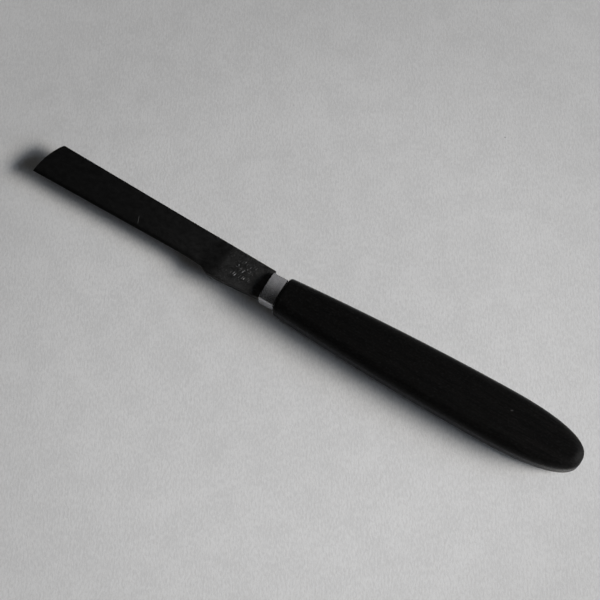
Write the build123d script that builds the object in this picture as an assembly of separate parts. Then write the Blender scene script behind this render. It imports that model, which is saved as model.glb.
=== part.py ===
from build123d import *
import os
from math import cos, pi, sin

# Grafting knife with a fixed blade, lying on one broad face of its handle.
# Millimetres. +X runs towards the tip of the blade, +Y towards the cutting edge, and +Z up out of
# the marked face. The origin is on the surface that the knife lies on, under the middle of its box.
# A station is a distance along the knife, measured from the end of the butt.

# ---- Driving dimensions ----

overall_length = 190.0
handle_length = 100.9
handle_thickness = 9.2
handle_widest_half_width = 8.66
handle_widest_station = 29.0
handle_front_half_width = 5.95
handle_edge_radius = 3.2
handle_front_radius = 0.9
butt_fullness = 2.48         # exponent of the butt's superellipse: 2 is an ellipse, more is squarer

bead_length = 0.35           # line of cement that shows between the handle and the collar
bead_half_width = 4.2
bead_thickness = 5.0

collar_length = 5.15
collar_half_width = 4.7
collar_side_height = 4.6
collar_crest_height = 6.6
collar_edge_radius = 0.35
collar_end_radius = 0.3
collar_clearance = 0.05      # gap between the slot in the collar and the tang

ricasso_thickness = 2.4
shoulder_spine_y = -5.8
shoulder_belly_y = 4.38
belly_middle_station = 115.5
belly_middle_y = 5.05
choil_station = 124.7        # where the unground ricasso ends
choil_y = 5.4
heel_station = 127.3         # where the choil's step has run out into the cutting edge
heel_y = 4.12
heel_slope = -0.12            # slope of the cutting edge where it leaves the heel
edge_straight_station = 142.0
edge_y = 3.6
tip_spine_station = 186.3
tip_spine_y = -8.6
tip_corner_radius = 1.2
tip_bulge_station = 189.2    # a point half way round the curved end
tip_bulge_y = -2.45

grind_start_station = 123.7
grind_full_station = 127.3
tip_spine_thickness = 1.3
heel_edge_thickness = 0.45
tip_edge_thickness = 0.25

tang_length = 58.0
tang_thickness = 2.2
tang_root_half_width = 3.0
tang_end_half_width = 1.5

socket_depth = 60.0
socket_mouth_width = 8.0
socket_mouth_height = 4.2
socket_end_width = 4.6
socket_end_height = 3.4
socket_corner_radius = 1.2

margin = 1.0                 # how far a blade section reaches beyond the outline that trims it

# ---- Places worked out from them ----

mid_height = handle_thickness / 2
collar_back_station = handle_length + bead_length
shoulder_station = collar_back_station + collar_length
BUTT_STEPS = 10


def along(station):
    """X of a station."""
    return station - overall_length / 2


def cross_plane(station):
    """Plane across the knife, looking from the butt: its own x is +Y and its own y is +Z."""
    return Plane(origin=(along(station), 0, mid_height), x_dir=(0, 1, 0), z_dir=(1, 0, 0))


def point(station, y):
    """Point in plan."""
    return Vector(along(station), y, 0)


# ---- Handle ----

def butt_points():
    """The butt in plan, from its widest place on the -Y side round to the +Y side."""
    points = []
    for step in range(-BUTT_STEPS, BUTT_STEPS + 1):
        turn = abs(step) / BUTT_STEPS * pi / 2
        side = 1 if step > 0 else -1
        reach = cos(turn) ** (2 / butt_fullness) if abs(step) < BUTT_STEPS else 0
        half_width = handle_widest_half_width * sin(turn) ** (2 / butt_fullness)
        points.append(point(handle_widest_station * (1 - reach), side * half_width))
    return points


def handle_side_arc(side):
    """Long shallow arc from the widest place to the front end, leaving the butt along X."""
    widest = point(handle_widest_station, side * handle_widest_half_width)
    front = point(handle_length, side * handle_front_half_width)
    return TangentArc(widest, front, tangent=(1, 0, 0))


def socket():
    """Blind tapering hole for the tang, from the front of the handle."""
    end = cross_plane(handle_length - socket_depth)
    end = end * RectangleRounded(socket_end_width, socket_end_height, socket_corner_radius)
    mouth = cross_plane(handle_length)
    mouth = mouth * RectangleRounded(socket_mouth_width, socket_mouth_height, socket_corner_radius)
    return loft([end, mouth])


def make_handle():
    butt = Spline(butt_points(), tangents=[(-1, 0, 0), (1, 0, 0)])
    lower_side = handle_side_arc(-1)
    upper_side = handle_side_arc(1)
    front = Line(lower_side @ 1, upper_side @ 1)
    outline = make_face([butt, lower_side, upper_side, front])
    body = extrude(outline, amount=handle_thickness)
    long_edges = []
    for edge in body.edges():
        lies_flat = abs(edge.center().Z - mid_height) > mid_height / 2
        if lies_flat and edge.center().X < along(handle_length - handle_edge_radius):
            long_edges.append(edge)
    body = fillet(long_edges, handle_edge_radius)
    front_face = body.faces().sort_by(Axis.X)[-1]
    body = fillet(front_face.edges(), handle_front_radius)
    return body - socket()


# ---- Blade, one forging: tang, ricasso and ground blade ----

def blade_outline():
    """The blade in plan, without its tang."""
    shoulder_spine = point(shoulder_station, shoulder_spine_y)
    shoulder_belly = point(shoulder_station, shoulder_belly_y)
    belly_middle = point(belly_middle_station, belly_middle_y)
    choil = point(choil_station, choil_y)
    heel = point(heel_station, heel_y)
    edge_start = point(edge_straight_station, edge_y)
    edge_tip = point(overall_length, edge_y)
    tip_bulge = point(tip_bulge_station, tip_bulge_y)
    tip_spine = point(tip_spine_station, tip_spine_y)
    outline = [
        Line(tip_spine, shoulder_spine),
        Line(shoulder_spine, shoulder_belly),
        ThreePointArc(shoulder_belly, belly_middle, choil),
        Line(choil, heel),
        Spline([heel, edge_start], tangents=[(1, heel_slope, 0), (1, 0, 0)]),
        Line(edge_start, edge_tip),
        ThreePointArc(edge_tip, tip_bulge, tip_spine),
    ]
    face = make_face(outline)
    tip_corner = face.vertices().sort_by_distance(tip_spine)[0]
    return fillet(tip_corner, tip_corner_radius)


def blade_section(station, spine_thickness, edge_thickness, edge_start_y):
    """Slice across the blade: a wedge from beyond the spine to edge_start_y, then a thin flange."""
    back = tip_spine_y - margin
    flange = choil_y + margin
    corners = [
        (back, -spine_thickness / 2),
        (edge_start_y, -edge_thickness / 2),
        (flange, -edge_thickness / 2),
        (flange, edge_thickness / 2),
        (edge_start_y, edge_thickness / 2),
        (back, spine_thickness / 2),
    ]
    return cross_plane(station) * make_face(Polyline(corners, close=True))


def make_tang():
    """Flat tang, tapering in width to its blunt end."""
    end_station = handle_length - tang_length
    corners = [
        point(end_station, -tang_end_half_width),
        point(shoulder_station, -tang_root_half_width),
        point(shoulder_station, tang_root_half_width),
        point(end_station, tang_end_half_width),
    ]
    plan = make_face(Polyline(corners, close=True))
    return Pos(0, 0, mid_height - tang_thickness / 2) * extrude(plan, amount=tang_thickness)


def make_blade():
    sections = [
        blade_section(shoulder_station, ricasso_thickness, ricasso_thickness, heel_y),
        blade_section(grind_start_station, ricasso_thickness, ricasso_thickness, heel_y),
        blade_section(grind_full_station, ricasso_thickness, heel_edge_thickness, heel_y),
        blade_section(overall_length + margin, tip_spine_thickness, tip_edge_thickness, edge_y),
    ]
    stock = loft(sections, ruled=True)
    profile = extrude(blade_outline(), amount=handle_thickness)
    return (stock & profile) + make_tang()


# ---- Collar between the blade's shoulders and the handle ----

def make_collar():
    half_side = collar_side_height / 2
    half_crest = collar_crest_height / 2
    left_top = (-collar_half_width, half_side)
    right_top = (collar_half_width, half_side)
    left_bottom = (-collar_half_width, -half_side)
    right_bottom = (collar_half_width, -half_side)
    section = make_face([
        Line(left_bottom, left_top),
        ThreePointArc(left_top, (0, half_crest), right_top),
        Line(right_top, right_bottom),
        ThreePointArc(right_bottom, (0, -half_crest), left_bottom),
    ])
    body = extrude(cross_plane(collar_back_station) * section, amount=collar_length)
    body = fillet(body.edges().filter_by(Axis.X), collar_edge_radius)
    end_faces = body.faces().filter_by(Axis.X)
    body = fillet(end_faces.edges(), collar_end_radius)
    slot_width = 2 * (tang_root_half_width + collar_clearance)
    slot_height = tang_thickness + 2 * collar_clearance
    slot = cross_plane(collar_back_station) * Rectangle(slot_width, slot_height)
    return body - extrude(slot, amount=collar_length)


# ---- Cement that holds the tang ----

def make_cement():
    """Fills the socket round the tang and closes the joint behind the collar."""
    bead = RectangleRounded(2 * bead_half_width, bead_thickness, socket_corner_radius)
    bead = extrude(cross_plane(handle_length) * bead, amount=bead_length)
    return socket() + bead - make_tang()


nodes = {
    "blade": make_blade(),
    "collar": make_collar(),
    "handle": make_handle(),
    "tang_cement": make_cement(),
}

os.makedirs("parts", exist_ok=True)
for name, solid in nodes.items():
    export_step(solid, f"parts/{name}.step")
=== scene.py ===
import math

import bmesh
import bpy
import numpy as np
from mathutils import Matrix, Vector


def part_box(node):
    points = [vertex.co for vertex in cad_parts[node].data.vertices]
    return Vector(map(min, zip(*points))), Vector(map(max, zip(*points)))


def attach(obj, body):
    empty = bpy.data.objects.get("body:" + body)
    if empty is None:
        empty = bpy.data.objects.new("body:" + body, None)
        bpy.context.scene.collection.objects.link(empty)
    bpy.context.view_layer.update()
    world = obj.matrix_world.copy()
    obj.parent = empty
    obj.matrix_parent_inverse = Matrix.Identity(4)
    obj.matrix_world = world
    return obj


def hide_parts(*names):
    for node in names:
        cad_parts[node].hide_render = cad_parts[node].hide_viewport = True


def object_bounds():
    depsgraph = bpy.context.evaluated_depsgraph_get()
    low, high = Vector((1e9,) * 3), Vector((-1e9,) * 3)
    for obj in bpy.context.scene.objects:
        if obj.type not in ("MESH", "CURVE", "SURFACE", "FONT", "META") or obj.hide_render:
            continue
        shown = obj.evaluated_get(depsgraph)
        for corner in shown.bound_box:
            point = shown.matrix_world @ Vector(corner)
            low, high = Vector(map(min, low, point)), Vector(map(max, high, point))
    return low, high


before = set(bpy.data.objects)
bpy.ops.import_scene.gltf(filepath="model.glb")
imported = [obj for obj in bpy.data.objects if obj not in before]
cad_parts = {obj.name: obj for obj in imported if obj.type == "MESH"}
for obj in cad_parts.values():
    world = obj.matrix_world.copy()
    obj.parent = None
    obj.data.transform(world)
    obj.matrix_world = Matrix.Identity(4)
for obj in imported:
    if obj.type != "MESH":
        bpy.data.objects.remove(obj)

# Grafting knife. Metres, in the row frame: +X towards the tip, +Y towards the cutting edge, +Z up
# out of the marked face. The knife lies on the flat underside of its handle.

MM = 0.001

# ---- Places read from the frame ----

cad_low, cad_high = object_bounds()
handle_low, handle_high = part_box("handle")
collar_low, collar_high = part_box("collar")
blade_low, blade_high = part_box("blade")

butt_x = handle_low.x
front_x = handle_high.x
handle_half_width = handle_high.y
handle_half_height = (handle_high.z - handle_low.z) / 2
middle_z = (handle_low.z + handle_high.z) / 2

collar_back_x = collar_low.x
collar_front_x = collar_high.x
collar_half_width = collar_high.y
collar_half_crest = (collar_high.z - collar_low.z) / 2

shoulder_x = collar_front_x
tip_x = blade_high.x
choil_y = blade_high.y
ricasso_half_thickness = (blade_high.z - blade_low.z) / 2
tang_end_x = blade_low.x

# ---- Sizes of the handle ----

widest_x = butt_x + 29.0 * MM
BUTT_FULLNESS = 2.48          # exponent of the butt's superellipse
FRONT_HALF_WIDTH = 5.95 * MM
HANDLE_ROUNDING = 3.2 * MM
FRONT_ROUNDING = 0.9 * MM
SOCKET_DEPTH = 60.0 * MM
SOCKET_MOUTH = (4.0 * MM, 2.1 * MM)    # half width and half height
SOCKET_END = (2.3 * MM, 1.7 * MM)
SOCKET_ROUNDING = 1.2 * MM

# ---- Sizes of the collar ----

COLLAR_HALF_SIDE = 2.3 * MM
COLLAR_ROUNDING = 0.35 * MM
COLLAR_END_ROUNDING = 0.3 * MM
COLLAR_SLOT = (3.05 * MM, 1.15 * MM)   # half width and half height
COLLAR_SLOT_ROUNDING = 0.1 * MM
# Between these, the collar's sides turn dull and are painted darker as shade.
COLLAR_DULL_SHADED_Y = (collar_half_width - 0.4 * MM, collar_half_width - 0.1 * MM)    # its sides turn dull

# ---- Sizes of the blade ----
# A pair is X and Y of a place in plan.

SPINE_SHOULDER_Y = -5.8 * MM
SPINE_TIP = (butt_x + 186.3 * MM, -8.6 * MM)
SPINE_TIP_ROUNDING = 1.2 * MM
BELLY_SHOULDER_Y = 4.38 * MM
BELLY_MIDDLE = (butt_x + 115.5 * MM, 5.05 * MM)
CHOIL_X = butt_x + 124.7 * MM
HEEL = (butt_x + 127.3 * MM, 4.12 * MM)
HEEL_SLOPE = -0.12
EDGE_STRAIGHT_X = butt_x + 142.0 * MM
EDGE_Y = 3.6 * MM
TIP_BULGE = (butt_x + 189.2 * MM, -2.45 * MM)
GRIND_START_X = butt_x + 121.0 * MM
GRIND_FULL_X = butt_x + 128.4 * MM       # where the grind is full at the edge
GRIND_LAG = 8.0 * MM                     # how much later it is full at the spine
GRIND_BACK_Y = -9.6 * MM                 # where the wedge has its full thickness
TIP_BACK_HALF_THICKNESS = 0.65 * MM
HEEL_EDGE_HALF_THICKNESS = 0.225 * MM
TIP_EDGE_HALF_THICKNESS = 0.125 * MM
CUTTING_HALF_THICKNESS = 0.015 * MM
BEVEL_WIDTH = 0.8 * MM
BLADE_EASING = 0.2 * MM
THIN_EASING_SHARE = 0.7                  # of half the thickness, where that is less than the easing
TANG_HALF_THICKNESS = 1.1 * MM
TANG_ROOT_HALF_WIDTH = 3.0 * MM
TANG_END_HALF_WIDTH = 1.5 * MM

# ---- Sizes of the mark: a leafy stem between two rows of short ticks ----

mark_x = butt_x + 114.9 * MM
MARK_Y = -1.0 * MM
MARK_HALF_LENGTH = 3.9 * MM
MARK_ROW_OFFSET = 2.25 * MM
TICKS_EACH_SIDE = 4
TICK_SPACING = 0.76 * MM
TICK_SHIFT = 0.12 * TICK_SPACING         # how far the ticks stray from even spacing
TICK_HALF_HEIGHT = 0.50 * MM
TICK_UNEVENNESS = 0.18 * MM              # how much their half heights vary
TICK_LEAN = 0.3                          # along X, as a share of their height
STEM_START_X = mark_x - 3.1 * MM
STEM_END_X = mark_x + 2.8 * MM
LEAF_PAIRS = 5
LEAF_START_X = mark_x - 2.415 * MM
LEAF_SPACING = 1.05 * MM
LEAF_REACH = (0.45 * MM, 0.85 * MM)      # along the stem and away from it
STROKE_HALF_WIDTH = 0.17 * MM
STROKE_DEPTH = 0.09 * MM

# ---- Marks of use ----
# Along X, the ricasso turns from worn to stained between the two places of WORN_X. Painted shade on
# the slope where the grind starts begins, is full, begins to fade and ends at the four places of
# PLUNGE_SHADE_X, and beyond PATINA_EVEN_X the patina is even. A scratch or a nick is its centre in
# plan, its angle in degrees, its half length and its half width.

WORN_X = (butt_x + 109.0 * MM, butt_x + 119.5 * MM)
PLUNGE_SHADE_X = [butt_x + station * MM for station in (120.3, 122.8, 125.2, 127.6)]
PLUNGE_SHADE_Y = (-1.5 * MM, 3.0 * MM)           # it fades between these, towards the edge
PATINA_EVEN_X = butt_x + 151.0 * MM
# EDGE_SHADE_X and EDGE_SHADE_Y place a strip of painted shade beside the edge.
EDGE_SHADE_X = (GRIND_START_X, butt_x + 139.0 * MM)      # where the shade beside the edge fades in
EDGE_SHADE_Y = (EDGE_Y - 1.5 * MM, EDGE_Y - 0.6 * MM)    # where it begins and is full
BLADE_SCRATCH = ((butt_x + 152.1 * MM, 0.94 * MM), 113.0, 1.5 * MM, 0.13 * MM)
HANDLE_NICK = ((butt_x + 24.3 * MM, -2.1 * MM), 30.0, 0.5 * MM, 0.3 * MM)

# ---- Steps of the section rings ----

SIDE_STEPS = 4
ROUND_STEPS = 12
TOP_STEPS = 14
END_ROUND_STEPS = 8
BUTT_RINGS = 72
BUTT_CROWDING = 1.25           # more than 1 brings the rings closer at the end of the butt
HANDLE_SIDE_RINGS = 120
SOCKET_RINGS = 13
COLLAR_RINGS = 30
TANG_RINGS = 40

# ---- Steps of the blade's grid ----
# Shares run from 0 at the spine to 1 at the edge. A stretch is its start, its end and its steps.

EASING_STEPS = 6
SPINE_EASING_SHARE = 0.0175
SPINE_STRETCH = (0.03, 0.13, 5)
MARK_STRETCH = (0.14, 0.78, 98)
EDGE_STRETCH = (0.80, 0.955, 8)
BEVEL_SHARE = 0.036
BEVEL_PARTS = np.array([1.0, 0.75, 0.5, 0.3, 0.15, 0.05, 0.0])    # of that share, down to the edge
eased_x = shoulder_x + 0.5 * MM
mark_start_x = mark_x - MARK_HALF_LENGTH
mark_end_x = mark_x + MARK_HALF_LENGTH
grind_end_x = GRIND_FULL_X + 1.0 * MM
body_end_x = butt_x + 176.0 * MM
RICASSO_STEPS = 14
MARK_STEPS = 108
GRIND_STEPS = 46
BODY_STEPS = 100
TIP_STEPS = 26
TIP_STRAIGHT_SHARE = 0.975
TIP_EASING_SHARE = 0.016

# ---- Finishing of every mesh ----

JOINING_DISTANCE = 0.0005 * MM
SHORTEST_EDGE = 0.0002 * MM
SHARP_ANGLE = 40.0             # degrees; an edge that bends more stays sharp


def smooth_step(value):
    """0 to 1 with level ends."""
    value = np.clip(value, 0.0, 1.0)
    return value * value * (3 - 2 * value)


def circle_through(a, b, c):
    """Centre and radius of the circle through three points in plan."""
    rows = np.array([[b[0] - a[0], b[1] - a[1]], [c[0] - a[0], c[1] - a[1]]]) * 2
    squares = [b[0] ** 2 - a[0] ** 2 + b[1] ** 2 - a[1] ** 2]
    squares.append(c[0] ** 2 - a[0] ** 2 + c[1] ** 2 - a[1] ** 2)
    centre = np.linalg.solve(rows, np.array(squares))
    return centre, math.hypot(a[0] - centre[0], a[1] - centre[1])


# ---- Section rings ----

def quadrant(x, half_width, half_height, rounding, inset=0.0, normal=(0.0, 1.0)):
    """A quarter of a rounded section, from the middle of its +Y side to the middle of its top.
    normal is the outline's outward normal in plan, along which the section is inset."""
    points = []
    for step in range(SIDE_STEPS):
        z = (half_height - rounding) * step / SIDE_STEPS
        points.append((x - inset * normal[0], half_width - inset * normal[1], z))
    for step in range(ROUND_STEPS):
        turn = math.pi / 2 * (1 - step / ROUND_STEPS)
        offset = rounding - (rounding - inset) * math.sin(turn)
        z = half_height - rounding + (rounding - inset) * math.cos(turn)
        points.append((x - offset * normal[0], half_width - offset * normal[1], z))
    for step in range(TOP_STEPS + 1):
        y = (half_width - rounding * normal[1]) * (1 - step / TOP_STEPS)
        points.append((x - rounding * normal[0], y, half_height - inset))
    return points


def whole_ring(quarter):
    """A closed ring about the knife's axis, mirrored from its quarter."""
    q = np.array(quarter)
    over = q[-2::-1] * (1, -1, 1)
    under = q[1:] * (1, -1, -1)
    back = q[-2:0:-1] * (1, 1, -1)
    ring = np.concatenate([q, over, under, back])
    return ring + (0, 0, middle_z)


def ring_faces(ring_count, ring_size, looped=False):
    """Quads between rings that follow each other, each ring closed on itself."""
    faces = []
    for r in range(ring_count if looped else ring_count - 1):
        here = r * ring_size
        there = (r + 1) % ring_count * ring_size
        for k in range(ring_size):
            n = (k + 1) % ring_size
            faces.append((here + k, here + n, there + n, there + k))
    return faces


def finish_mesh(name, points, faces):
    """A mesh object with joined points, outward normals and smooth faces between sharp edges."""
    mesh = bpy.data.meshes.new(name)
    mesh.from_pydata(np.asarray(points).reshape(-1, 3).tolist(), [], faces)
    shape = bmesh.new()
    shape.from_mesh(mesh)
    bmesh.ops.remove_doubles(shape, verts=shape.verts, dist=JOINING_DISTANCE)
    bmesh.ops.dissolve_degenerate(shape, edges=shape.edges, dist=SHORTEST_EDGE)
    bmesh.ops.recalc_face_normals(shape, faces=shape.faces)
    for face in shape.faces:
        face.smooth = True
    shape.to_mesh(mesh)
    shape.free()
    mesh.set_sharp_from_angle(angle=math.radians(SHARP_ANGLE))
    made = bpy.data.objects.new(name, mesh)
    bpy.context.scene.collection.objects.link(made)
    return made


# ---- Handle ----

def butt_place(turn):
    """A point of the butt's outline on the +Y side and its outward normal. turn runs from 0 at
    the end of the butt to a quarter turn at the widest place."""
    reach = widest_x - butt_x
    back = max(math.cos(turn), 0.0) ** (2 / BUTT_FULLNESS)
    side = math.sin(turn) ** (2 / BUTT_FULLNESS)
    outward_x = -back ** (BUTT_FULLNESS - 1) / reach
    outward_y = side ** (BUTT_FULLNESS - 1) / handle_half_width
    normal = Vector((outward_x, outward_y)).normalized()
    return widest_x - reach * back, handle_half_width * side, normal


def side_half_width(x):
    """Half width of the handle on the long arc in front of its widest place."""
    length = front_x - widest_x
    narrowing = handle_half_width - FRONT_HALF_WIDTH
    radius = (length ** 2 + narrowing ** 2) / (2 * narrowing)
    return handle_half_width - radius + math.sqrt(radius ** 2 - (x - widest_x) ** 2)


def handle_rings():
    """From the end of the butt to the rounded edge of the front face."""
    rings = []
    for step in range(BUTT_RINGS):
        x, y, normal = butt_place(math.pi / 2 * (step / BUTT_RINGS) ** BUTT_CROWDING)
        rings.append(quadrant(x, y, handle_half_height, HANDLE_ROUNDING, 0.0, normal))
    rounding_start = front_x - FRONT_ROUNDING
    for x in np.linspace(widest_x, rounding_start, HANDLE_SIDE_RINGS):
        rings.append(quadrant(x, side_half_width(x), handle_half_height, HANDLE_ROUNDING))
    for step in range(1, END_ROUND_STEPS + 1):
        turn = math.pi / 2 * step / END_ROUND_STEPS
        x = rounding_start + FRONT_ROUNDING * math.sin(turn)
        inset = FRONT_ROUNDING * (1 - math.cos(turn))
        rings.append(quadrant(x, side_half_width(x), handle_half_height, HANDLE_ROUNDING, inset))
    return [whole_ring(r) for r in rings]


def socket_rings():
    """Blind socket for the tang, from its mouth in the front face to its end."""
    rings = []
    for share in np.linspace(0, 1, SOCKET_RINGS):
        x = front_x - SOCKET_DEPTH * share
        half_width = SOCKET_MOUTH[0] + (SOCKET_END[0] - SOCKET_MOUTH[0]) * share
        half_height = SOCKET_MOUTH[1] + (SOCKET_END[1] - SOCKET_MOUTH[1]) * share
        rings.append(whole_ring(quadrant(x, half_width, half_height, SOCKET_ROUNDING)))
    end = np.tile((front_x - SOCKET_DEPTH, 0, middle_z), (len(rings[0]), 1))
    return rings + [end]


def make_handle():
    rings = np.array(handle_rings() + socket_rings())
    faces = ring_faces(rings.shape[0], rings.shape[1])
    return finish_mesh("handle_ebony", rings, faces)


# ---- Collar ----

def collar_quadrant(x, inset):
    """A quarter of the collar's section: straight side, rounded corner, then the convex face."""
    rise = collar_half_crest - COLLAR_HALF_SIDE
    face_radius = (collar_half_width ** 2 + rise ** 2) / (2 * rise)
    face_z = collar_half_crest - face_radius
    corner_y = collar_half_width - COLLAR_ROUNDING
    corner_z = face_z + math.sqrt((face_radius - COLLAR_ROUNDING) ** 2 - corner_y ** 2)
    lean = math.atan2(corner_y, corner_z - face_z)
    points = []
    for step in range(SIDE_STEPS):
        points.append((x, collar_half_width - inset, corner_z * step / SIDE_STEPS))
    for step in range(ROUND_STEPS):
        turn = math.pi / 2 + (lean - math.pi / 2) * step / ROUND_STEPS
        reach = COLLAR_ROUNDING - inset
        points.append((x, corner_y + reach * math.sin(turn), corner_z + reach * math.cos(turn)))
    for step in range(TOP_STEPS + 1):
        turn = lean * (1 - step / TOP_STEPS)
        reach = face_radius - inset
        points.append((x, reach * math.sin(turn), face_z + reach * math.cos(turn)))
    return points


def collar_end_rings(face_x, inward):
    """The rounding at one end of the collar, from its end face to just short of the full section.
    inward is 1 at the back and -1 at the front."""
    rings = []
    for step in range(END_ROUND_STEPS):
        turn = math.pi / 2 * step / END_ROUND_STEPS
        x = face_x + inward * COLLAR_END_ROUNDING * (1 - math.cos(turn))
        rings.append(collar_quadrant(x, COLLAR_END_ROUNDING * (1 - math.sin(turn))))
    return rings


def collar_rings():
    """From the slot at the back, out over the collar and into the slot at the front."""
    slot_back = quadrant(collar_back_x, *COLLAR_SLOT, COLLAR_SLOT_ROUNDING)
    slot_front = quadrant(collar_front_x, *COLLAR_SLOT, COLLAR_SLOT_ROUNDING)
    straight_start = collar_back_x + COLLAR_END_ROUNDING
    straight_end = collar_front_x - COLLAR_END_ROUNDING
    stations = np.linspace(straight_start, straight_end, COLLAR_RINGS)
    straight = [collar_quadrant(x, 0.0) for x in stations]
    back_end = collar_end_rings(collar_back_x, 1)
    front_end = collar_end_rings(collar_front_x, -1)
    rings = [slot_back] + back_end + straight + front_end[::-1] + [slot_front]
    return [whole_ring(r) for r in rings]


def make_collar():
    rings = np.array(collar_rings())
    faces = ring_faces(rings.shape[0], rings.shape[1], looped=True)
    return finish_mesh("collar_metal", rings, faces)


# ---- Blade: outline ----

def spine_y(x):
    """The straight spine."""
    slope = (SPINE_TIP[1] - SPINE_SHOULDER_Y) / (SPINE_TIP[0] - shoulder_x)
    return SPINE_SHOULDER_Y + slope * (x - shoulder_x)


def belly_edge_y(x):
    """The lower edge: curved ricasso, step at the choil, a slow run-out, then the straight edge."""
    centre, radius = circle_through((shoulder_x, BELLY_SHOULDER_Y), BELLY_MIDDLE, (CHOIL_X, choil_y))
    belly = centre[1] + np.sqrt(radius ** 2 - (np.minimum(x, CHOIL_X) - centre[0]) ** 2)
    step = choil_y + (HEEL[1] - choil_y) * (x - CHOIL_X) / (HEEL[0] - CHOIL_X)
    length = EDGE_STRAIGHT_X - HEEL[0]
    t = np.clip((x - HEEL[0]) / length, 0, 1)
    run_out = HEEL[1] + (EDGE_Y - HEEL[1]) * smooth_step(t) + HEEL_SLOPE * length * t * (1 - t) ** 2
    return np.where(x < CHOIL_X, belly, np.where(x < HEEL[0], step, run_out))


def circle_point(centre, radius, turn):
    """Points on a circle in plan."""
    return np.stack([centre[0] + radius * np.cos(turn), centre[1] + radius * np.sin(turn)], -1)


def tip_corner():
    """The rounding between the spine and the curved end: its centre, and its angles in plan where
    it leaves the spine and where it meets the end."""
    centre, radius = circle_through((tip_x, EDGE_Y), TIP_BULGE, SPINE_TIP)
    run = Vector((SPINE_TIP[0] - shoulder_x, SPINE_TIP[1] - SPINE_SHOULDER_Y)).normalized()
    inward = Vector((-run.y, run.x))
    start = Vector((shoulder_x, SPINE_SHOULDER_Y)) + inward * SPINE_TIP_ROUNDING
    to_start = start - Vector(centre)
    reach = radius - SPINE_TIP_ROUNDING
    half = to_start.dot(run)
    along = -half + math.sqrt(half ** 2 - to_start.length_squared + reach ** 2)
    corner = start + run * along
    leaves = math.atan2(-inward.y, -inward.x)
    meets = math.atan2(corner.y - centre[1], corner.x - centre[0])
    return corner, leaves, meets, centre, radius


def tip_boundaries(start_x, along_steps, across_shares):
    """The spine and the lower edge from start_x to the end of the blade, and the curved end."""
    corner, leaves, meets, centre, radius = tip_corner()
    middle = (leaves + meets) / 2
    leave_x = circle_point(corner, SPINE_TIP_ROUNDING, leaves)[0]
    arc_length = SPINE_TIP_ROUNDING * (middle - leaves)
    spine_length = leave_x - start_x
    way = along_steps * (spine_length + arc_length)
    straight_x = start_x + np.minimum(way, spine_length)
    spine = np.stack([straight_x, spine_y(straight_x)], -1)
    on_arc = way > spine_length
    turn = leaves + (way[on_arc] - spine_length) / SPINE_TIP_ROUNDING
    spine[on_arc] = circle_point(corner, SPINE_TIP_ROUNDING, turn)
    edge_x = start_x + along_steps * (tip_x - start_x)
    edge = np.stack([edge_x, belly_edge_y(edge_x)], -1)
    end_turn = math.atan2(EDGE_Y - centre[1], tip_x - centre[0])
    end_length = radius * (end_turn - meets)
    corner_length = SPINE_TIP_ROUNDING * (meets - middle)
    way = across_shares * (corner_length + end_length)
    end = circle_point(centre, radius, meets + (way - corner_length) / radius)
    on_corner = way < corner_length
    turn = middle + way[on_corner] / SPINE_TIP_ROUNDING
    end[on_corner] = circle_point(corner, SPINE_TIP_ROUNDING, turn)
    return spine, edge, end


# ---- Blade: surface ----

def column_shares(easing):
    """Shares of the way from the spine to the edge."""
    return np.concatenate([
        SPINE_EASING_SHARE * easing,
        np.linspace(*SPINE_STRETCH),
        np.linspace(*MARK_STRETCH),
        np.linspace(*EDGE_STRETCH),
        1 - BEVEL_SHARE * BEVEL_PARTS,
    ])


def row_stations(easing):
    """X of the rows from the shoulder to where the tip's patch begins."""
    return np.concatenate([
        shoulder_x + BLADE_EASING * easing,
        np.linspace(eased_x, mark_start_x, RICASSO_STEPS),
        np.linspace(mark_start_x, mark_end_x, MARK_STEPS)[1:],
        np.linspace(mark_end_x, grind_end_x, GRIND_STEPS)[1:],
        np.linspace(grind_end_x, body_end_x, BODY_STEPS)[1:],
    ])


def tip_patch(start, steps, across):
    """Rows from the last row of the body to the curved end, filled in between four boundaries."""
    spine, edge, end = tip_boundaries(body_end_x, steps, across)
    u = steps[:, None, None]
    v = across[None, :, None]
    ruled_across = spine[:, None] * (1 - v) + edge[:, None] * v
    ruled_along = start[None] * (1 - u) + end[None] * u
    corners = (start[0] * (1 - v) + start[-1] * v) * (1 - u) + (end[0] * (1 - v) + end[-1] * v) * u
    return ruled_across + ruled_along - corners


def blade_plan():
    """Plan of the blade's grid: rows run from the spine to the edge, at steps from the shoulder
    to the tip. It is fine where the mark is engraved and close to every edge."""
    easing = 1 - np.cos(np.linspace(0, math.pi / 2, EASING_STEPS))
    across = column_shares(easing)
    stations = row_stations(easing)
    low = spine_y(stations)[:, None]
    high = belly_edge_y(stations)[:, None]
    body = np.stack([
        np.broadcast_to(stations[:, None], (len(stations), len(across))),
        low + (high - low) * across,
    ], -1)
    straight_steps = np.linspace(0, TIP_STRAIGHT_SHARE, TIP_STEPS)[1:]
    steps = np.concatenate([straight_steps, 1 - TIP_EASING_SHARE * (1 - easing)])
    return np.concatenate([body, tip_patch(body[-1], steps, across)])


def round_over(distance, rounding):
    """How far an eased edge drops at this distance from it."""
    left = np.clip(rounding - distance, 0, rounding)
    return rounding - np.sqrt(np.maximum(rounding ** 2 - left ** 2, 0))


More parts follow.
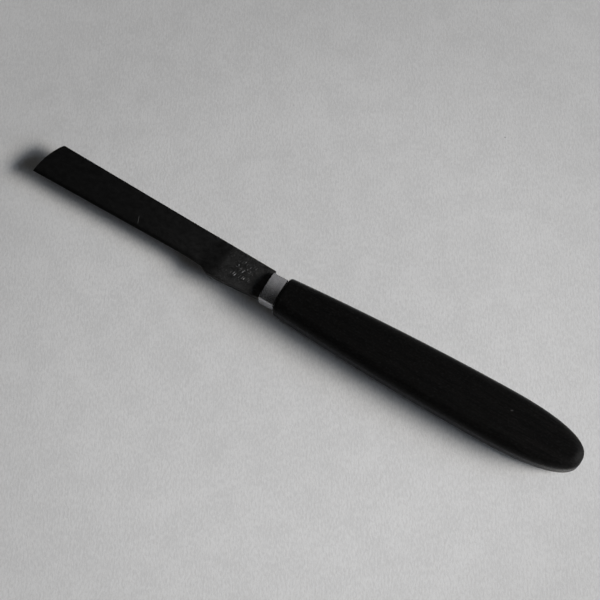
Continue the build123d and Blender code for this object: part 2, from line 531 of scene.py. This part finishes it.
def half_thickness(x, y):
    """Half the blade's thickness before its edges are eased: flat ricasso, a smooth slope where
    the grind starts, then a wedge from the spine to the edge that thins towards the tip."""
    lag = GRIND_LAG * smooth_step((EDGE_Y - y) / (EDGE_Y - SPINE_SHOULDER_Y))
    full = smooth_step((x - GRIND_START_X) / (GRIND_FULL_X + lag - GRIND_START_X))
    taper = np.clip((x - GRIND_FULL_X) / (tip_x - GRIND_FULL_X), 0, 1)
    back = ricasso_half_thickness + (TIP_BACK_HALF_THICKNESS - ricasso_half_thickness) * taper
    thin = HEEL_EDGE_HALF_THICKNESS + (TIP_EDGE_HALF_THICKNESS - HEEL_EDGE_HALF_THICKNESS) * taper
    share = np.clip((y - GRIND_BACK_Y) / (EDGE_Y - GRIND_BACK_Y), 0, 1)
    ground = back + (thin - back) * share
    return ricasso_half_thickness + (ground - ricasso_half_thickness) * full


def blade_height(plan):
    """Height of the blade's surface above its middle plane, edges eased and the edge bevelled."""
    x, y = plan[..., 0], plan[..., 1]
    thickness = half_thickness(x, y)
    easing = np.minimum(BLADE_EASING, THIN_EASING_SHARE * thickness)
    from_spine = np.linalg.norm(plan - plan[:, :1], axis=-1)
    from_edge = np.linalg.norm(plan - plan[:, -1:], axis=-1)
    from_tip = np.linalg.norm(plan - plan[-1:], axis=-1)
    drop = np.maximum(round_over(from_spine, easing), round_over(from_tip, easing))
    sharpened = smooth_step((x - CHOIL_X) / (2 * (HEEL[0] - CHOIL_X)))
    bevel = (thickness - CUTTING_HALF_THICKNESS) * np.clip(1 - from_edge / BEVEL_WIDTH, 0, 1)
    edge_drop = round_over(from_edge, easing) * (1 - sharpened) + bevel * sharpened
    drop = np.maximum(drop, edge_drop)
    return np.maximum(thickness - drop, CUTTING_HALF_THICKNESS)


# ---- Blade: generic mark engraved on the ricasso ----

def mark_strokes():
    """Strokes of the ornament as pairs of points."""
    strokes = []
    for row in (-1, 1):
        y = MARK_Y + row * MARK_ROW_OFFSET
        for k in range(-TICKS_EACH_SIDE, TICKS_EACH_SIDE + 1):
            x = mark_x + k * TICK_SPACING + TICK_SHIFT * math.sin(3.0 * k + row)
            half = TICK_HALF_HEIGHT + TICK_UNEVENNESS * math.cos(2.4 * k + row)
            strokes.append(((x - TICK_LEAN * half, y - half), (x + TICK_LEAN * half, y + half)))
    strokes.append(((STEM_START_X, MARK_Y), (STEM_END_X, MARK_Y)))
    for k in range(LEAF_PAIRS):
        x = LEAF_START_X + k * LEAF_SPACING
        for side in (-1, 1):
            strokes.append(((x, MARK_Y), (x + LEAF_REACH[0], MARK_Y + side * LEAF_REACH[1])))
    return strokes


def mark_wear(x, y):
    """How much of the mark is left, from 0 to 1: it is worn unevenly."""
    across = np.sin(1.9 * (x - mark_x) / MM + 0.7) * np.cos(1.7 * y / MM + 0.4)
    small = np.sin(4.3 * (x - mark_x) / MM - 2.9 * y / MM)
    towards_edge = (y - MARK_Y) / MARK_ROW_OFFSET
    return np.clip(0.40 + 0.22 * towards_edge + 0.42 * across + 0.35 * small, 0.1, 1.0)


def engraving(x, y):
    """Depth of the engraved mark."""
    share = np.zeros_like(x)
    for (ax, ay), (bx, by) in mark_strokes():
        dx, dy = bx - ax, by - ay
        along = np.clip(((x - ax) * dx + (y - ay) * dy) / (dx ** 2 + dy ** 2), 0, 1)
        away = np.hypot(x - ax - along * dx, y - ay - along * dy)
        share = np.maximum(share, 1 - smooth_step(away / STROKE_HALF_WIDTH))
    return STROKE_DEPTH * share * mark_wear(x, y)


# ---- Blade: mesh ----

def blade_faces(rows, columns):
    """Faces of the upper and the lower grid, of the walls between them along the spine, the edge
    and the tip, but not of the shoulder."""
    size = rows * columns
    faces = []
    for r in range(rows - 1):
        for c in range(columns - 1):
            here = r * columns + c
            quad = (here, here + columns, here + columns + 1, here + 1)
            faces.append(quad)
            faces.append(tuple(size + k for k in reversed(quad)))
        for c in (0, columns - 1):
            here = r * columns + c
            faces.append((here, here + columns, size + here + columns, size + here))
    last = (rows - 1) * columns
    for here in range(last, last + columns - 1):
        faces.append((here, here + 1, size + here + 1, size + here))
    return faces


def make_blade():
    plan = blade_plan()
    height = blade_height(plan)
    top = np.dstack([plan, middle_z + height - engraving(plan[..., 0], plan[..., 1])])
    under = np.dstack([plan, middle_z - height])
    rows, columns = plan.shape[:2]
    tang_points, tang_faces = tang_shape(top[0], rows * columns)
    points = np.concatenate([top.reshape(-1, 3), under.reshape(-1, 3), tang_points])
    blade = finish_mesh("blade_steel", points, blade_faces(rows, columns) + tang_faces)
    note_struck_metal(blade.data)
    return blade


def note_struck_metal(mesh):
    """Keeps on each point how deep the mark was struck there, for the steel's colour."""
    places = np.empty(3 * len(mesh.vertices))
    mesh.vertices.foreach_get("co", places)
    places = places.reshape(-1, 3)
    struck = engraving(places[:, 0], places[:, 1]) / STROKE_DEPTH * (places[:, 2] > middle_z)
    layer = mesh.attributes.new("struck", "FLOAT", "POINT")
    layer.data.foreach_set("value", struck)


def tang_rows(width_shares):
    """Points of the tang from the shoulder to its end, at each station its upper row, then its
    lower row."""
    points = []
    for x in np.linspace(shoulder_x, tang_end_x, TANG_RINGS):
        share = (x - shoulder_x) / (tang_end_x - shoulder_x)
        half_width = TANG_ROOT_HALF_WIDTH + (TANG_END_HALF_WIDTH - TANG_ROOT_HALF_WIDTH) * share
        for side in (1, -1):
            for width_share in width_shares:
                points.append((x, width_share * half_width, middle_z + side * TANG_HALF_THICKNESS))
    return np.array(points)


def tang_shape(shoulder_row, size):
    """The shoulder's face and the tang behind it. The tang keeps the columns of the blade's grid
    that lie within its width. size is how many points each of the blade's two grids has."""
    y = shoulder_row[:, 1]
    inside = np.nonzero(np.abs(y) <= TANG_ROOT_HALF_WIDTH)[0]
    first, last = inside[0], inside[-1]
    count = last - first + 1
    points = tang_rows(y[first:last + 1] / TANG_ROOT_HALF_WIDTH)

    def upper(s, k):
        return 2 * size + 2 * s * count + k

    def lower(s, k):
        return upper(s, k) + count

    faces = []
    for s in range(TANG_RINGS - 1):
        for k in range(count - 1):
            faces.append((upper(s, k), upper(s, k + 1), upper(s + 1, k + 1), upper(s + 1, k)))
            faces.append((lower(s, k), lower(s + 1, k), lower(s + 1, k + 1), lower(s, k + 1)))
        for k in (0, count - 1):
            faces.append((upper(s, k), upper(s + 1, k), lower(s + 1, k), lower(s, k)))
    end = TANG_RINGS - 1
    for k in range(count - 1):
        faces.append((upper(end, k), upper(end, k + 1), lower(end, k + 1), lower(end, k)))
        c = first + k
        faces.append((c, c + 1, upper(0, k + 1), upper(0, k)))
        faces.append((size + c, size + c + 1, lower(0, k + 1), lower(0, k)))
    for c in list(range(first - 1)) + list(range(last + 1, len(y) - 1)):
        faces.append((c, c + 1, size + c + 1, size + c))
    faces.append((first - 1, first, upper(0, 0), lower(0, 0), size + first, size + first - 1))
    k = count - 1
    faces.append((last + 1, last, upper(0, k), lower(0, k), size + last, size + last + 1))
    return points, faces


# ---- Material nodes ----

def add(tree, kind, inputs=None, **settings):
    """A node with its settings, and its inputs, by name or number, given as values or as outputs
    to link."""
    made = tree.nodes.new(kind)
    for name, value in settings.items():
        setattr(made, name, value)
    for name, value in (inputs or {}).items():
        if isinstance(value, bpy.types.NodeSocket):
            tree.links.new(value, made.inputs[name])
        else:
            made.inputs[name].default_value = value
    return made


def new_material(name, **constants):
    """A material with one Principled shader, whose constants are set on its own sockets."""
    material = bpy.data.materials.new(name)
    material.use_nodes = True
    tree = material.node_tree
    tree.nodes.clear()
    shader = add(tree, "ShaderNodeBsdfPrincipled")
    for socket, value in constants.items():
        shader.inputs[socket.replace("_", " ")].default_value = value
    output = add(tree, "ShaderNodeOutputMaterial")
    tree.links.new(shader.outputs["BSDF"], output.inputs["Surface"])
    return material, tree, shader


def millimetres(tree, stretch=(1, 1, 1)):
    """Place on the object in millimetres, each axis times its stretch."""
    place = add(tree, "ShaderNodeTexCoord").outputs["Object"]
    scale = tuple(s / MM for s in stretch)
    return add(tree, "ShaderNodeMapping", {"Vector": place, "Scale": scale}).outputs["Vector"]


def noise(tree, vector, scale, detail=4.0, roughness=0.55, distortion=0.0):
    inputs = {"Vector": vector, "Scale": scale, "Detail": detail}
    inputs.update({"Roughness": roughness, "Distortion": distortion})
    return add(tree, "ShaderNodeTexNoise", inputs).outputs["Fac"]


def between(tree, value, low, high, out_low=0.0, out_high=1.0, smooth=False):
    """value from low..high mapped to out_low..out_high and held there."""
    inputs = {"Value": value, "From Min": low, "From Max": high, "To Min": out_low, "To Max": out_high}
    kind = "SMOOTHSTEP" if smooth else "LINEAR"
    return add(tree, "ShaderNodeMapRange", inputs, interpolation_type=kind).outputs["Result"]


def maths(tree, operation, a, b=0.0):
    return add(tree, "ShaderNodeMath", {0: a, 1: b}, operation=operation).outputs["Value"]


# A Mix node has a factor and a pair of inputs for each kind of value, so both go by number.

def blend_colour(tree, factor, a, b):
    """Colour a where the factor is 0 and b where it is 1."""
    return add(tree, "ShaderNodeMix", {0: factor, 6: a, 7: b}, data_type="RGBA").outputs[2]


def blend_value(tree, factor, a, b):
    """Number a where the factor is 0 and b where it is 1."""
    return add(tree, "ShaderNodeMix", {0: factor, 2: a, 3: b}, data_type="FLOAT").outputs[0]


def bump(tree, height, depth, normal=None):
    """Bump whose height of 1 stands depth metres proud."""
    inputs = {"Height": height, "Distance": depth, "Strength": 1.0}
    if normal is not None:
        inputs["Normal"] = normal
    return add(tree, "ShaderNodeBump", inputs).outputs["Normal"]


def dot(tree, vector, axis):
    """Length of vector along a fixed axis."""
    inputs = {0: vector, 1: axis}
    return add(tree, "ShaderNodeVectorMath", inputs, operation="DOT_PRODUCT").outputs["Value"]


def streak(tree, centre, angle, half_length, half_width):
    """1 on a short streak of the upper face, fading to 0 at its edges. centre is in metres in
    plan, and angle is in degrees from +X."""
    place = add(tree, "ShaderNodeTexCoord").outputs["Object"]
    middle = (centre[0], centre[1], middle_z)
    away = add(tree, "ShaderNodeVectorMath", {0: place, 1: middle}, operation="SUBTRACT")
    away = away.outputs["Vector"]
    turn = math.radians(angle)
    along = maths(tree, "ABSOLUTE", dot(tree, away, (math.cos(turn), math.sin(turn), 0)))
    across = maths(tree, "ABSOLUTE", dot(tree, away, (-math.sin(turn), math.cos(turn), 0)))
    inside = maths(tree, "MULTIPLY", between(tree, along, half_length / 2, half_length, 1.0, 0.0),
                   between(tree, across, 0.0, half_width, 1.0, 0.0))
    upper = between(tree, dot(tree, away, (0, 0, 1)), 0.0, 0.1 * MM)
    return maths(tree, "MULTIPLY", inside, upper)


def grey(value, tint=(1.0, 1.0, 1.0)):
    return (value * tint[0], value * tint[1], value * tint[2], 1.0)


def link(tree, output, shader, socket):
    tree.links.new(output, shader.inputs[socket])


# ---- Materials ----

EBONY_TINT = (1.10, 0.99, 0.92)


def span(places):
    """Places in metres as the millimetres that the materials work in."""
    return [place / MM for place in places]


def steel_colour(tree, x, y, patches, fine, ground):
    """The steel's colour before its scratches and its mark: a ricasso first worn, then stained, with
    pale specks painted as glints; a blade that darkens towards its tip, with painted shade beside its
    edge; painted shade on the slope where the grind starts."""
    fading = between(tree, x, GRIND_FULL_X / MM, PATINA_EVEN_X / MM)
    # Painted shade beside the edge.
    painted_edge_shade = maths(tree, "MULTIPLY", between(tree, y, *span(EDGE_SHADE_Y), 0.0, 0.6),
                        between(tree, x, *span(EDGE_SHADE_X)))
    # Painted shade on the slope where the grind starts, weaker towards the edge.
    plunge_shade = maths(tree, "MULTIPLY", between(tree, x, *span(PLUNGE_SHADE_X[:2]), smooth=True),
                  between(tree, x, *span(PLUNGE_SHADE_X[2:]), 1.0, 0.0, smooth=True))
    plunge_shade = maths(tree, "MULTIPLY", plunge_shade, between(tree, y, *span(PLUNGE_SHADE_Y), 0.95, 0.25))
    # Painted glints: pale specks in the ricasso's colour.
    glints = maths(tree, "MULTIPLY", between(tree, fine, 0.54, 0.70), 0.7)
    worn = blend_colour(tree, patches, grey(0.031), grey(0.070))
    stained = blend_colour(tree, patches, grey(0.028), grey(0.057))
    ricasso = blend_colour(tree, between(tree, x, *span(WORN_X)), worn, stained)
    ricasso = blend_colour(tree, glints, ricasso, grey(0.140))
    heel = blend_colour(tree, patches, grey(0.028), grey(0.051))
    tip = blend_colour(tree, patches, grey(0.024), grey(0.037))
    blade = blend_colour(tree, fading, heel, tip)
    blade = blend_colour(tree, painted_edge_shade, blade, grey(0.010))
    colour = blend_colour(tree, ground, ricasso, blade)
    plunge_shade_colour = blend_colour(tree, patches, grey(0.014), grey(0.032))
    return blend_colour(tree, plunge_shade, colour, plunge_shade_colour)


def steel_material():
    """Dark patinated carbon steel, duller and more mottled towards the handle, with ground lines
    across the blade, fine scratches along it, one short scratch across and a worn pale mark."""
    material, tree, shader = new_material("patinated_steel", Metallic=1.0)
    axes = add(tree, "ShaderNodeSeparateXYZ", {"Vector": millimetres(tree)})
    x, y = axes.outputs["X"], axes.outputs["Y"]
    ground = between(tree, x, GRIND_START_X / MM, GRIND_FULL_X / MM, smooth=True)
    outward = between(tree, x, GRIND_FULL_X / MM, tip_x / MM)
    lines_across = noise(tree, millimetres(tree, (9.0, 0.35, 1.0)), 1.0, 3.0, 0.6, 0.3)
    lines_along = noise(tree, millimetres(tree, (0.25, 6.0, 1.0)), 1.0, 3.0, 0.6, 0.2)
    lines = blend_value(tree, ground, lines_along, lines_across)
    mottle = noise(tree, millimetres(tree, (0.45, 0.6, 0.6)), 1.0, 7.0, 0.66, 0.5)
    fine = noise(tree, millimetres(tree), 2.2, 5.0, 0.65)
    struck = add(tree, "ShaderNodeAttribute", attribute_name="struck").outputs["Fac"]
    scratches = noise(tree, millimetres(tree, (0.12, 14.0, 1.0)), 1.0, 2.0, 0.5, 1.2)
    scratches = maths(tree, "MULTIPLY", between(tree, scratches, 0.70, 0.76), 0.25)
    colour = steel_colour(tree, x, y, between(tree, mottle, 0.36, 0.64), fine, ground)
    colour = blend_colour(tree, scratches, colour, grey(0.20))
    colour = blend_colour(tree, streak(tree, *BLADE_SCRATCH), colour, grey(0.30))
    colour = blend_colour(tree, maths(tree, "POWER", struck, 2.0), colour, grey(0.60))
    link(tree, colour, shader, "Base Color")
    dull = blend_value(tree, ground, 0.70, blend_value(tree, outward, 0.58, 0.48))
    uneven = maths(tree, "MULTIPLY", maths(tree, "SUBTRACT", fine, 0.5), 0.25)
    rough = blend_value(tree, struck, maths(tree, "ADD", dull, uneven), 0.5)
    link(tree, rough, shader, "Roughness")
    normal = bump(tree, lines, 0.004 * MM)
    normal = bump(tree, mottle, 0.03 * MM, normal)
    normal = bump(tree, fine, 0.02 * MM, normal)
    link(tree, normal, shader, "Normal")
    return material


def collar_material():
    """Satin white metal with light tarnish and faint file lines; its two sides are duller, and painted
    darker as shade.
    """
    material, tree, shader = new_material("satin_white_metal", Metallic=1.0)
    mottle = noise(tree, millimetres(tree, (0.9, 0.7, 0.7)), 1.0, 6.0, 0.62, 0.5)
    fine = noise(tree, millimetres(tree), 3.0, 4.0, 0.6)
    lines = noise(tree, millimetres(tree, (12.0, 0.4, 0.4)), 1.0, 3.0, 0.6, 0.2)
    tarnished = grey(0.74, (0.98, 0.98, 1.05))
    clean = grey(0.96, (0.99, 0.99, 1.03))
    colour = blend_colour(tree, between(tree, mottle, 0.32, 0.68), tarnished, clean)
    y = add(tree, "ShaderNodeSeparateXYZ", {"Vector": millimetres(tree)}).outputs["Y"]
    sides = between(tree, maths(tree, "ABSOLUTE", y), *span(COLLAR_DULL_SHADED_Y))
    # Painted shade: the sides are blended towards a darker grey.
    colour = blend_colour(tree, maths(tree, "MULTIPLY", sides, 0.6), colour, grey(0.46))
    link(tree, colour, shader, "Base Color")
    face = between(tree, fine, 0.3, 0.7, 0.36, 0.22)
    link(tree, blend_value(tree, sides, face, 0.55), shader, "Roughness")
    normal = bump(tree, lines, 0.003 * MM)
    normal = bump(tree, mottle, 0.03 * MM, normal)
    link(tree, normal, shader, "Normal")
    return material


def ebony_material():
    """Black wood with long pores and a hand-worn, dull surface, browner towards the butt, with one
    small pale nick."""
    constants = {"IOR": 1.45, "Specular_IOR_Level": 0.09, "Sheen_Weight": 0.30, "Sheen_Roughness": 0.3}
    material, tree, shader = new_material("black_ebony", **constants)
    streaks = noise(tree, millimetres(tree, (0.10, 1.6, 1.6)), 1.0, 6.0, 0.6, 0.4)
    pores = noise(tree, millimetres(tree, (0.55, 7.0, 7.0)), 1.0, 2.0, 0.5, 0.3)
    pores = between(tree, pores, 0.60, 0.72)
    mottle = noise(tree, millimetres(tree, (0.35, 0.6, 0.6)), 1.0, 6.0, 0.65)
    fine = noise(tree, millimetres(tree, (1.2, 2.4, 2.4)), 1.0, 5.0, 0.7, 0.3)
    x = add(tree, "ShaderNodeSeparateXYZ", {"Vector": millimetres(tree)}).outputs["X"]
    towards_butt = between(tree, x, *span((front_x - 10.0 * MM, butt_x + 10.0 * MM)))
    brown = blend_colour(tree, towards_butt, grey(0.0024, EBONY_TINT), grey(0.0056, EBONY_TINT))
    colour = blend_colour(tree, between(tree, streaks, 0.35, 0.7), grey(0.0007), brown)
    colour = blend_colour(tree, between(tree, fine, 0.52, 0.70), colour, grey(0.0115))
    colour = blend_colour(tree, pores, colour, grey(0.0002))
    colour = blend_colour(tree, streak(tree, *HANDLE_NICK), colour, grey(0.05))
    link(tree, colour, shader, "Base Color")
    rough = blend_value(tree, between(tree, mottle, 0.34, 0.66), 0.52, 0.66)
    rough = maths(tree, "ADD", rough, maths(tree, "MULTIPLY", pores, 0.15))
    link(tree, rough, shader, "Roughness")
    normal = bump(tree, pores, -0.015 * MM)
    normal = bump(tree, streaks, 0.02 * MM, normal)
    normal = bump(tree, fine, 0.05 * MM, normal)
    link(tree, normal, shader, "Normal")
    return material


def cement_material():
    """Black resin cement, slightly gritty."""
    material, tree, shader = new_material("resin_cement", IOR=1.5)
    grit = noise(tree, millimetres(tree), 5.0, 5.0, 0.6)
    link(tree, blend_colour(tree, grit, grey(0.006), grey(0.014)), shader, "Base Color")
    link(tree, between(tree, grit, 0.3, 0.7, 0.5, 0.75), shader, "Roughness")
    link(tree, bump(tree, grit, 0.03 * MM), shader, "Normal")
    return material


# The lens is in millimetres.

FLOOR_HALF_SIZE = 8.0
PAPER_GRAIN = 208.0                    # azimuth along which the paper's fibres lie
# The paper is paler towards one azimuth as painted light, and darker far from the origin as painted
# shade.
PAINTED_LIGHT_AZIMUTH = 244.0                    # azimuth towards which it is paler
PAINTED_LIGHT_BETWEEN = (-90.0 * MM, 90.0 * MM)      # distances that way
PAINTED_SHADE_BETWEEN = (70.0 * MM, 115.0 * MM)     # distances from the origin
SPECKS_PER_MM = 0.077
VIEW_AZIMUTH = 210.68                  # where the camera stands
VIEW_ELEVATION = 69.0
VIEW_DISTANCE = 408.66 * MM
VIEW_AIM = Vector((1.45 * MM, -3.29 * MM, cad_low.z))
LENS = 80.0
SENSOR = 36.0
CAMERA_CLIP_START = 0.01
WINDOW_AZIMUTH = 284.6
WINDOW_ELEVATION = 24.5
WINDOW_DISTANCE = 8.0
WINDOW_MIDDLE = (3.79, 1.69, 543.0, (1.08, 1.0, 0.89))    # width, height, power and colour
WINDOW_WHOLE = (7.61, 3.20, 449.0, (0.885, 0.985, 1.135))
ROOM_LIGHT = 0.008
ROOM_COLOUR = (1.01, 1.0, 0.98, 1.0)
FAR_WALL = (20.0, 33.0, 0.20)          # azimuth and elevation of its middle, and its light
NEAR_WALL = (200.0, 5.0, 0.20)
WALL_SPREAD = 0.30                     # cosine of the angle at which a wall's light ends
WALL_FALL = 3.5                        # how steeply the light falls off
FAR_WALL_HALF_WIDTH = (0.20, 0.65)     # sines of the angles where it starts to fade and where it ends


def direction(azimuth, elevation):
    """Unit vector from the knife towards an azimuth and an elevation."""
    a, e = math.radians(azimuth), math.radians(elevation)
    return Vector((math.sin(a) * math.cos(e), -math.cos(a) * math.cos(e), math.sin(e)))


def paper_specks(tree, place):
    """One tiny speck in each cell of the paper, some of them hardly visible."""
    cells = add(tree, "ShaderNodeTexVoronoi", {"Vector": place, "Scale": SPECKS_PER_MM})
    dots = between(tree, cells.outputs["Distance"], 0.010, 0.028, 1.0, 0.0)
    shades = between(tree, dot(tree, cells.outputs["Color"], (1, 0, 0)), 0.2, 1.0, 0.05, 0.65)
    return maths(tree, "MULTIPLY", dots, shades)


def paper_material():
    """Plain paper with faint fibres and a few specks, paler towards one side as painted light, and a
    little darker away from the knife as painted shade."""
    material, tree, shader = new_material("pale_paper", Roughness=0.9)
    place = millimetres(tree)
    along = dot(tree, place, tuple(direction(PAPER_GRAIN, 0.0)))
    aside = dot(tree, place, tuple(direction(PAPER_GRAIN + 90.0, 0.0)))
    sheet = add(tree, "ShaderNodeCombineXYZ", {"X": maths(tree, "MULTIPLY", along, 0.45), "Y": aside})
    fibres = noise(tree, sheet.outputs["Vector"], 1.7, 4.0, 0.72, 0.4)
    clouds = noise(tree, place, 0.11, 3.0, 0.55, 0.5)
    tone = between(tree, maths(tree, "ADD", fibres, maths(tree, "MULTIPLY", clouds, 0.3)), 0.55, 0.75)
    dark = blend_colour(tree, tone, grey(0.592), grey(0.682))
    pale = blend_colour(tree, tone, grey(0.822), grey(0.932))
    # Painted light: paler towards PAINTED_LIGHT_AZIMUTH.
    paler = dot(tree, place, tuple(direction(PAINTED_LIGHT_AZIMUTH, 0.0)))
    colour = blend_colour(tree, between(tree, paler, *span(PAINTED_LIGHT_BETWEEN)), dark, pale)
    # Painted shade: darker far from the origin.
    away = add(tree, "ShaderNodeVectorMath", {0: place}, operation="LENGTH").outputs["Value"]
    darker = between(tree, away, *span(PAINTED_SHADE_BETWEEN), 0.0, 0.16)
    colour = blend_colour(tree, darker, colour, grey(0.30))
    link(tree, blend_colour(tree, paper_specks(tree, place), colour, grey(0.20)), shader, "Base Color")
    link(tree, bump(tree, fibres, 0.05 * MM), shader, "Normal")
    return material


def make_floor():
    signs = ((-1, -1), (1, -1), (1, 1), (-1, 1))
    corners = [(FLOOR_HALF_SIZE * x, FLOOR_HALF_SIZE * y, cad_low.z) for x, y in signs]
    mesh = bpy.data.meshes.new("floor")
    mesh.from_pydata(corners, [], [(0, 1, 2, 3)])
    mesh.materials.append(paper_material())
    floor = bpy.data.objects.new("floor", mesh)
    bpy.context.scene.collection.objects.link(floor)


def make_lamp(name, width, height, power, colour):
    """A soft oval lamp that faces the knife from where the window is."""
    lamp = bpy.data.lights.new(name, "AREA")
    lamp.shape = "ELLIPSE"
    lamp.size = width
    lamp.size_y = height
    lamp.energy = power
    lamp.color = colour
    window = bpy.data.objects.new(name, lamp)
    bpy.context.scene.collection.objects.link(window)
    away = direction(WINDOW_AZIMUTH, WINDOW_ELEVATION)
    window.location = away * WINDOW_DISTANCE
    window.rotation_euler = away.to_track_quat("Z", "Y").to_euler()


def make_window():
    """A wide soft window, low on the butt's side of the knife and brightest in its middle."""
    make_lamp("window_middle", *WINDOW_MIDDLE)
    make_lamp("window_whole", *WINDOW_WHOLE)


def wall_glow(tree, towards, azimuth, elevation, light):
    """Light from a pale wall, strongest in the middle of the wall."""
    middle = dot(tree, towards, tuple(direction(azimuth, elevation)))
    share = between(tree, middle, WALL_SPREAD, 1.0)
    return maths(tree, "MULTIPLY", maths(tree, "POWER", share, WALL_FALL), light)


def make_surroundings():
    """A dim room with two paler walls, a narrow one beyond the knife and a wide one behind the
    camera."""
    world = bpy.data.worlds.new("studio")
    bpy.context.scene.world = world
    world.use_nodes = True
    tree = world.node_tree
    towards = add(tree, "ShaderNodeTexCoord").outputs["Generated"]
    aside = dot(tree, towards, tuple(direction(FAR_WALL[0] + 90.0, 0.0)))
    narrow = between(tree, maths(tree, "ABSOLUTE", aside), *FAR_WALL_HALF_WIDTH, 1.0, 0.0, smooth=True)
    far = maths(tree, "MULTIPLY", wall_glow(tree, towards, *FAR_WALL), narrow)
    near = wall_glow(tree, towards, *NEAR_WALL)
    strength = maths(tree, "ADD", maths(tree, "ADD", far, near), ROOM_LIGHT)
    sky = tree.nodes["Background"]
    sky.inputs["Color"].default_value = ROOM_COLOUR
    tree.links.new(strength, sky.inputs["Strength"])


def make_camera():
    data = bpy.data.cameras.new("camera")
    data.lens = LENS
    data.sensor_width = SENSOR
    data.clip_start = CAMERA_CLIP_START
    camera = bpy.data.objects.new("camera", data)
    bpy.context.scene.collection.objects.link(camera)
    back = direction(VIEW_AZIMUTH, VIEW_ELEVATION)
    camera.location = VIEW_AIM + back * VIEW_DISTANCE
    camera.rotation_mode = "QUATERNION"
    camera.rotation_quaternion = (-back).to_track_quat("-Z", "Y")
    bpy.context.scene.camera = camera


# ---- Assembly ----

def place_piece(piece, material, node):
    """The piece rides on the one body and stands for its CAD node."""
    piece.data.materials.append(material)
    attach(piece, "root")
    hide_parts(node)


def keep_cad_node(node, material):
    """The CAD solid stays, with a better material."""
    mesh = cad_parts[node].data
    mesh.materials.clear()
    mesh.materials.append(material)


place_piece(make_handle(), ebony_material(), "handle")
place_piece(make_collar(), collar_material(), "collar")
place_piece(make_blade(), steel_material(), "blade")
keep_cad_node("tang_cement", cement_material())
make_floor()
make_surroundings()
make_window()
make_camera()
bpy.context.scene.view_settings.view_transform = "Standard"
